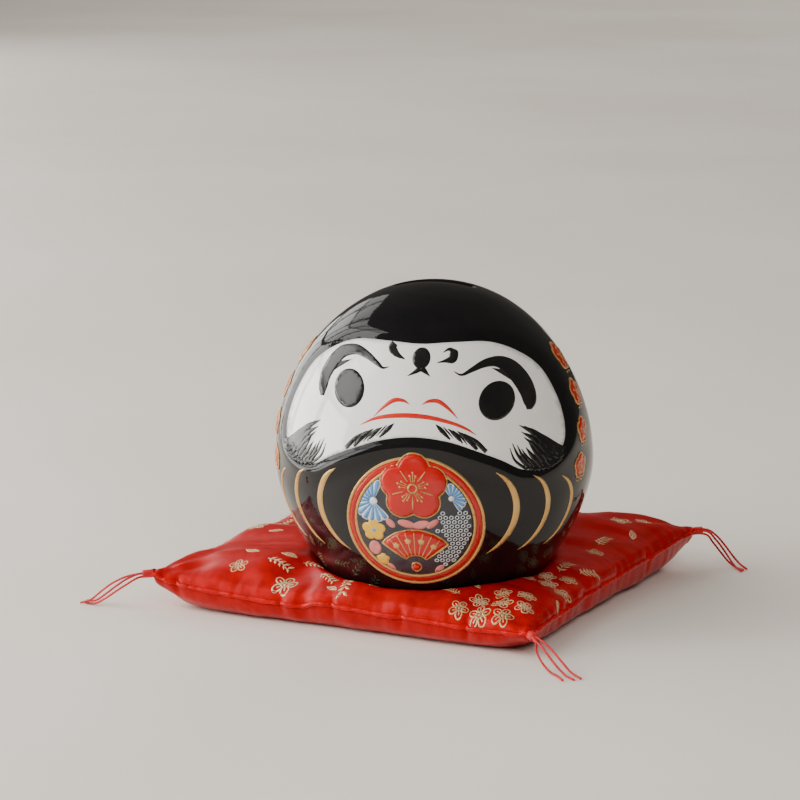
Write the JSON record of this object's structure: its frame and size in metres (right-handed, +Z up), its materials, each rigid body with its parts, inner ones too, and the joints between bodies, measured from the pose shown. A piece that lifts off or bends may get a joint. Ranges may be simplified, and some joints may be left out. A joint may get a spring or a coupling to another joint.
{
  "type": "daruma doll coin bank on a cushion",
  "caption": "Round glazed daruma doll coin bank with a top slot, painted face, floral medallion and rubber base stopper, sitting on a square tasselled satin cushion.",
  "frame": {"origin": "centre of the cushion's underside, on the surface that it stands on", "axes": "+Z up; the doll faces -Y, +X to the doll's left; the cushion is turned 18.8 degrees under it"},
  "size_m": [0.2502, 0.253, 0.1247],
  "materials": {
    "black_glaze": "glossy black glaze",
    "white_glaze": "glossy white glaze",
    "gilt": "matt gold enamel line",
    "red_enamel": "raised glossy red enamel",
    "charcoal_enamel": "dark enamel ground with painted flowers",
    "stopper_rubber": "soft translucent white rubber",
    "red_brocade": "red satin brocade with gold woven plum blossom",
    "wadding": "white polyester wadding",
    "red_cord": "thin twisted red rayon cord"
  },
  "bodies": {
    "cushion": {"cushion_top_cover": "red_brocade", "cushion_bottom_cover": "red_brocade", "cushion_filling": "wadding", "knot_right": "red_cord", "knot_back": "red_cord", "knot_left": "red_cord", "knot_front": "red_cord", "strand_right_1": "red_cord", "strand_right_2": "red_cord", "strand_right_3": "red_cord", "strand_back_1": "red_cord", "strand_back_2": "red_cord", "strand_back_3": "red_cord", "strand_left_1": "red_cord", "strand_left_2": "red_cord", "strand_left_3": "red_cord", "strand_front_1": "red_cord", "strand_front_2": "red_cord", "strand_front_3": "red_cord"},
    "doll": {"ceramic_shell": "black_glaze", "face_glaze": "white_glaze", "gilt_bands_left": "gilt", "gilt_bands_right": "gilt", "medallion_ground": "charcoal_enamel", "medallion_band": "red_enamel", "medallion_gilt_lines": "gilt", "blossom_relief": "red_enamel", "fan_relief": "red_enamel", "relief_outline": "gilt", "side_sprigs_left": "red_enamel", "side_sprigs_right": "red_enamel"},
    "stopper": {"stopper": "stopper_rubber"}
  },
  "joints": [
    {"name": "doll_lift", "type": "slide", "parent": "cushion", "child": "doll", "axis": [0, 0, 1], "range_m": [0, 0.12]},
    {"name": "stopper_pull", "type": "slide", "parent": "doll", "child": "stopper", "axis": [0, 0, -1], "range_m": [0, 0.036]}
  ],
  "couplings": [
    {"joint": "stopper_pull", "follows": "doll_lift", "ratio": 0.3}
  ]
}
